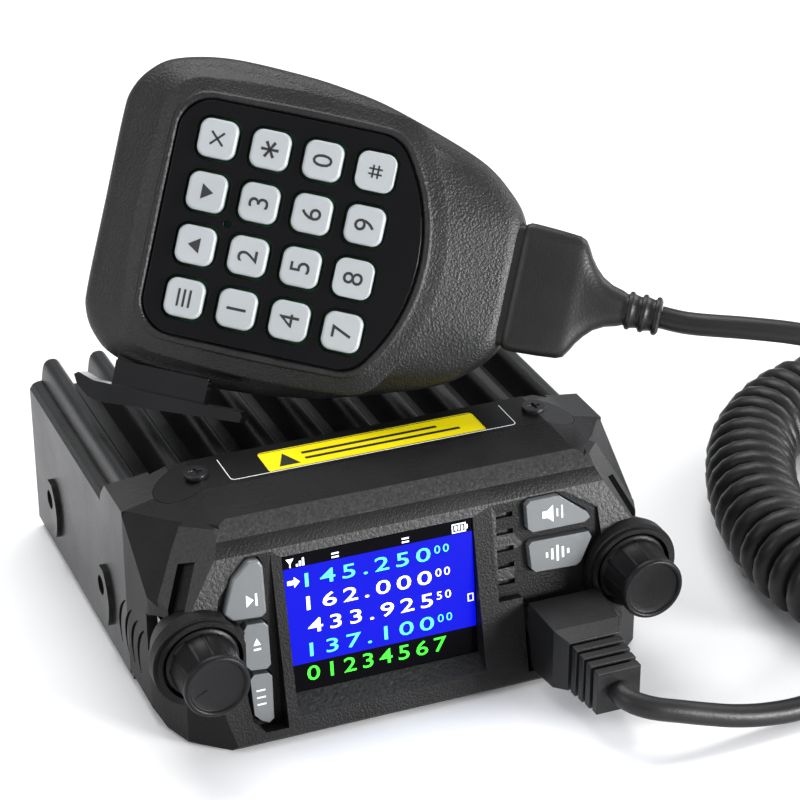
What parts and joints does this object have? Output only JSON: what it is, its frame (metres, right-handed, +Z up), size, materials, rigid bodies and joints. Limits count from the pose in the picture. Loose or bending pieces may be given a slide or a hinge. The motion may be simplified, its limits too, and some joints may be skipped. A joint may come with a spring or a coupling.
{
  "type": "mobile radio transceiver with hand microphone",
  "caption": "Compact mobile radio with finned die-cast body, tilted colour display, two knobs and a keypad hand microphone on a curly cord.",
  "frame": {"origin": "centre of the radio's underside, at the height of the surface it stands on", "axes": "+X to the radio's right as seen from its front, +Y towards its rear, +Z up; the front panel faces -Y"},
  "size_m": [0.2178, 0.1414, 0.1033],
  "materials": {
    "die_cast": "black anodised die casting, satin",
    "black_plastic": "fine grained black ABS",
    "gloss_black": "glossy black polycarbonate",
    "yellow_label": "printed yellow vinyl label",
    "black_steel": "blackened steel",
    "window": "smoked display window",
    "display": "lit blue display",
    "circuit_board": "green solder mask",
    "speaker_steel": "black pressed steel",
    "nickel": "nickel plated",
    "white_insulator": "moulded white insulator",
    "rubber": "satin black PVC",
    "clear_plastic": "clear polycarbonate",
    "button_grey": "satin grey plastic",
    "key_grey": "light grey silicone"
  },
  "bodies": {
    "radio": {"heatsink_chassis": "die_cast", "bottom_cover": "die_cast", "front_bezel": "black_plastic", "top_trim_plate": "black_plastic", "caution_label": "yellow_label", "trim_screws": "black_steel", "cover_screws": "black_steel", "display_window": "window", "display_module": "display", "front_circuit_board": "circuit_board", "main_circuit_board": "circuit_board", "speaker": "speaker_steel", "fan_frame": "black_plastic", "antenna_socket": "nickel", "antenna_insulator": "white_insulator", "power_grommet": "rubber", "speaker_jack": "black_plastic", "mic_jack": "nickel", "volume_pot": "nickel", "channel_encoder": "nickel", "modular_plug": "clear_plastic", "plug_boot": "rubber", "plug_lead": "rubber", "curly_cord": "rubber", "mic_lead": "rubber"},
    "fan": {"fan_rotor": "black_plastic"},
    "volume": {"volume_knob": "black_plastic"},
    "channel": {"channel_knob": "black_plastic"},
    "microphone": {"mic_front_shell": "black_plastic", "mic_rear_shell": "black_plastic", "keypad_panel": "gloss_black", "mic_boot": "rubber", "mic_circuit_board": "circuit_board", "mic_capsule": "nickel", "mic_hanger_stud": "nickel", "mic_screws": "black_steel"},
    "ptt": {"ptt_lever": "black_plastic"},
    "vm_button_body": {"vm_button": "button_grey"},
    "call_button_body": {"call_button": "button_grey"},
    "exit_button_body": {"exit_button": "button_grey"},
    "moni_button_body": {"moni_button": "button_grey"},
    "fm_button_body": {"fm_button": "button_grey"},
    "key_exit_body": {"key_exit": "key_grey"},
    "key_star_body": {"key_star": "key_grey"},
    "key_0_body": {"key_0": "key_grey"},
    "key_hash_body": {"key_hash": "key_grey"},
    "key_down_body": {"key_down": "key_grey"},
    "key_3_body": {"key_3": "key_grey"},
    "key_6_body": {"key_6": "key_grey"},
    "key_9_body": {"key_9": "key_grey"},
    "key_up_body": {"key_up": "key_grey"},
    "key_2_body": {"key_2": "key_grey"},
    "key_5_body": {"key_5": "key_grey"},
    "key_8_body": {"key_8": "key_grey"},
    "key_menu_body": {"key_menu": "key_grey"},
    "key_1_body": {"key_1": "key_grey"},
    "key_4_body": {"key_4": "key_grey"},
    "key_7_body": {"key_7": "key_grey"}
  },
  "joints": [
    {"name": "fan_spin", "type": "hinge", "parent": "radio", "child": "fan", "pos_m": [-0.016, 0.0401, 0.0152], "axis": [0, 1, 0], "continuous": true},
    {"name": "volume_turn", "type": "hinge", "parent": "radio", "child": "volume", "pos_m": [-0.043, -0.048, 0.0186], "axis": [0, -1, 0], "range_deg": [-140, 140]},
    {"name": "channel_turn", "type": "hinge", "parent": "radio", "child": "channel", "pos_m": [0.043, -0.048, 0.0186], "axis": [0, -1, 0], "continuous": true},
    {"name": "mic_lift", "type": "slide", "parent": "radio", "child": "microphone", "axis": [0, 0, 1], "range_m": [0, 0.08]},
    {"name": "ptt_press", "type": "hinge", "parent": "microphone", "child": "ptt", "pos_m": [-0.02322, 0.00839, 0.04768], "axis": [0.4313, 0.7878, -0.4398], "range_deg": [0, 4], "stiffness_Nm_per_rad": 0.6, "springref_deg": -2.86},
    {"name": "vm_button_press", "type": "slide", "parent": "radio", "child": "vm_button_body", "axis": [0, 0.9914, -0.1305], "range_m": [0, 0.0006], "stiffness_N_per_m": 1500, "springref_m": -0.0002},
    {"name": "call_button_press", "type": "slide", "parent": "radio", "child": "call_button_body", "axis": [0, 0.9914, -0.1305], "range_m": [0, 0.0006], "stiffness_N_per_m": 1500, "springref_m": -0.0002},
    {"name": "exit_button_press", "type": "slide", "parent": "radio", "child": "exit_button_body", "axis": [0, 0.9914, -0.1305], "range_m": [0, 0.0006], "stiffness_N_per_m": 1500, "springref_m": -0.0002},
    {"name": "moni_button_press", "type": "slide", "parent": "radio", "child": "moni_button_body", "axis": [0, 0.9914, -0.1305], "range_m": [0, 0.0006], "stiffness_N_per_m": 1500, "springref_m": -0.0002},
    {"name": "fm_button_press", "type": "slide", "parent": "radio", "child": "fm_button_body", "axis": [0, 0.9914, -0.1305], "range_m": [0, 0.0006], "stiffness_N_per_m": 1500, "springref_m": -0.0002},
    {"name": "key_exit_press", "type": "slide", "parent": "microphone", "child": "key_exit_body", "axis": [0.4313, 0.7878, -0.4398], "range_m": [0, 0.0007], "stiffness_N_per_m": 1000, "springref_m": -0.0002},
    {"name": "key_star_press", "type": "slide", "parent": "microphone", "child": "key_star_body", "axis": [0.4313, 0.7878, -0.4398], "range_m": [0, 0.0007], "stiffness_N_per_m": 1000, "springref_m": -0.0002},
    {"name": "key_0_press", "type": "slide", "parent": "microphone", "child": "key_0_body", "axis": [0.4313, 0.7878, -0.4398], "range_m": [0, 0.0007], "stiffness_N_per_m": 1000, "springref_m": -0.0002},
    {"name": "key_hash_press", "type": "slide", "parent": "microphone", "child": "key_hash_body", "axis": [0.4313, 0.7878, -0.4398], "range_m": [0, 0.0007], "stiffness_N_per_m": 1000, "springref_m": -0.0002},
    {"name": "key_down_press", "type": "slide", "parent": "microphone", "child": "key_down_body", "axis": [0.4313, 0.7878, -0.4398], "range_m": [0, 0.0007], "stiffness_N_per_m": 1000, "springref_m": -0.0002},
    {"name": "key_3_press", "type": "slide", "parent": "microphone", "child": "key_3_body", "axis": [0.4313, 0.7878, -0.4398], "range_m": [0, 0.0007], "stiffness_N_per_m": 1000, "springref_m": -0.0002},
    {"name": "key_6_press", "type": "slide", "parent": "microphone", "child": "key_6_body", "axis": [0.4313, 0.7878, -0.4398], "range_m": [0, 0.0007], "stiffness_N_per_m": 1000, "springref_m": -0.0002},
    {"name": "key_9_press", "type": "slide", "parent": "microphone", "child": "key_9_body", "axis": [0.4313, 0.7878, -0.4398], "range_m": [0, 0.0007], "stiffness_N_per_m": 1000, "springref_m": -0.0002},
    {"name": "key_up_press", "type": "slide", "parent": "microphone", "child": "key_up_body", "axis": [0.4313, 0.7878, -0.4398], "range_m": [0, 0.0007], "stiffness_N_per_m": 1000, "springref_m": -0.0002},
    {"name": "key_2_press", "type": "slide", "parent": "microphone", "child": "key_2_body", "axis": [0.4313, 0.7878, -0.4398], "range_m": [0, 0.0007], "stiffness_N_per_m": 1000, "springref_m": -0.0002},
    {"name": "key_5_press", "type": "slide", "parent": "microphone", "child": "key_5_body", "axis": [0.4313, 0.7878, -0.4398], "range_m": [0, 0.0007], "stiffness_N_per_m": 1000, "springref_m": -0.0002},
    {"name": "key_8_press", "type": "slide", "parent": "microphone", "child": "key_8_body", "axis": [0.4313, 0.7878, -0.4398], "range_m": [0, 0.0007], "stiffness_N_per_m": 1000, "springref_m": -0.0002},
    {"name": "key_menu_press", "type": "slide", "parent": "microphone", "child": "key_menu_body", "axis": [0.4313, 0.7878, -0.4398], "range_m": [0, 0.0007], "stiffness_N_per_m": 1000, "springref_m": -0.0002},
    {"name": "key_1_press", "type": "slide", "parent": "microphone", "child": "key_1_body", "axis": [0.4313, 0.7878, -0.4398], "range_m": [0, 0.0007], "stiffness_N_per_m": 1000, "springref_m": -0.0002},
    {"name": "key_4_press", "type": "slide", "parent": "microphone", "child": "key_4_body", "axis": [0.4313, 0.7878, -0.4398], "range_m": [0, 0.0007], "stiffness_N_per_m": 1000, "springref_m": -0.0002},
    {"name": "key_7_press", "type": "slide", "parent": "microphone", "child": "key_7_body", "axis": [0.4313, 0.7878, -0.4398], "range_m": [0, 0.0007], "stiffness_N_per_m": 1000, "springref_m": -0.0002}
  ]
}
